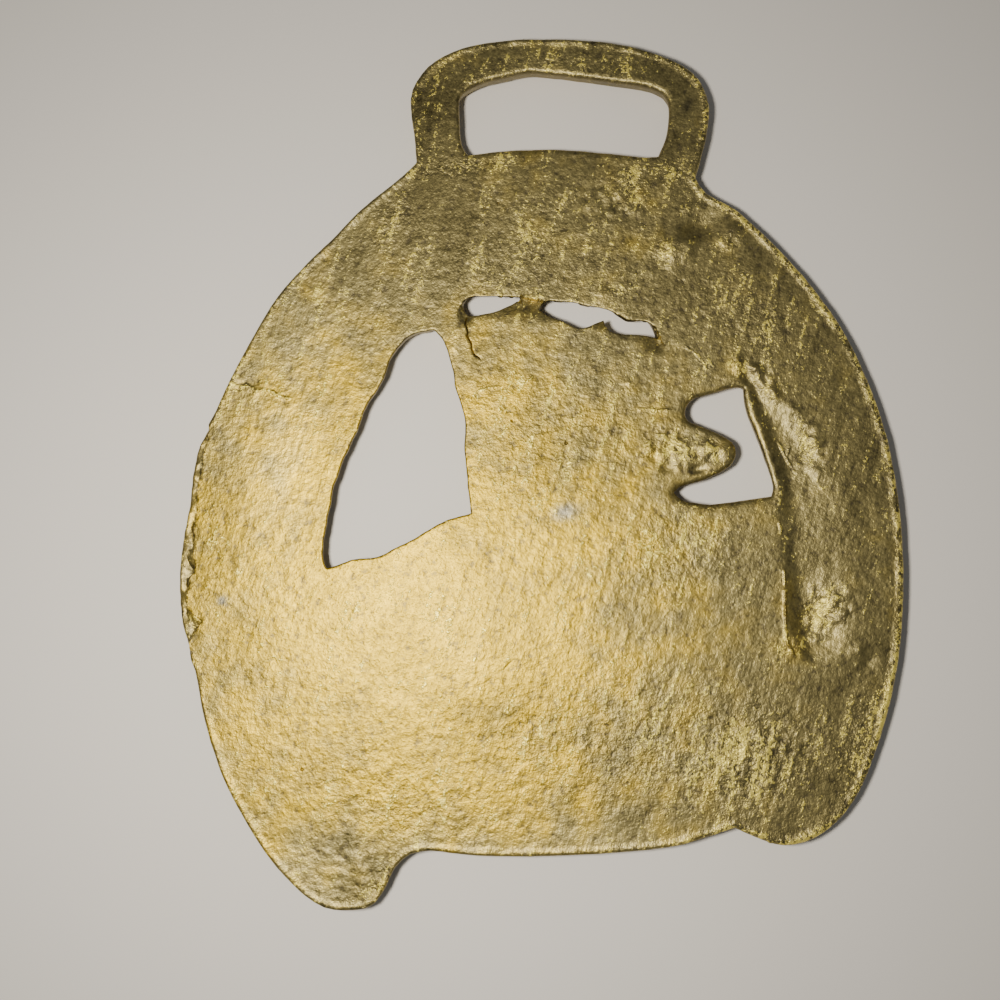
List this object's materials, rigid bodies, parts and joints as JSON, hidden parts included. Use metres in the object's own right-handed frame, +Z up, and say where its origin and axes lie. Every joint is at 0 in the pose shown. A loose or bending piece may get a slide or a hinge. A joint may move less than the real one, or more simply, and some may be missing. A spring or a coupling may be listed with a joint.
{
  "type": "horse brass",
  "caption": "Flat pierced cast brass harness ornament with a strap slot in its hanger, a plain back and a cable border on its raised front, lying face down.",
  "frame": {"origin": "middle of what the part lies on, level with the crests of its front", "axes": "+Z up, out of the plain back; +Y towards the hanger; +X to the right, seen from the back"},
  "size_m": [0.0725, 0.0887, 0.0031],
  "materials": {
    "brass": "aged cast brass, dull olive brown, with rough spots and edges worn bright"
  },
  "bodies": {
    "root": {"horse_brass": "brass"}
  },
  "joints": []
}
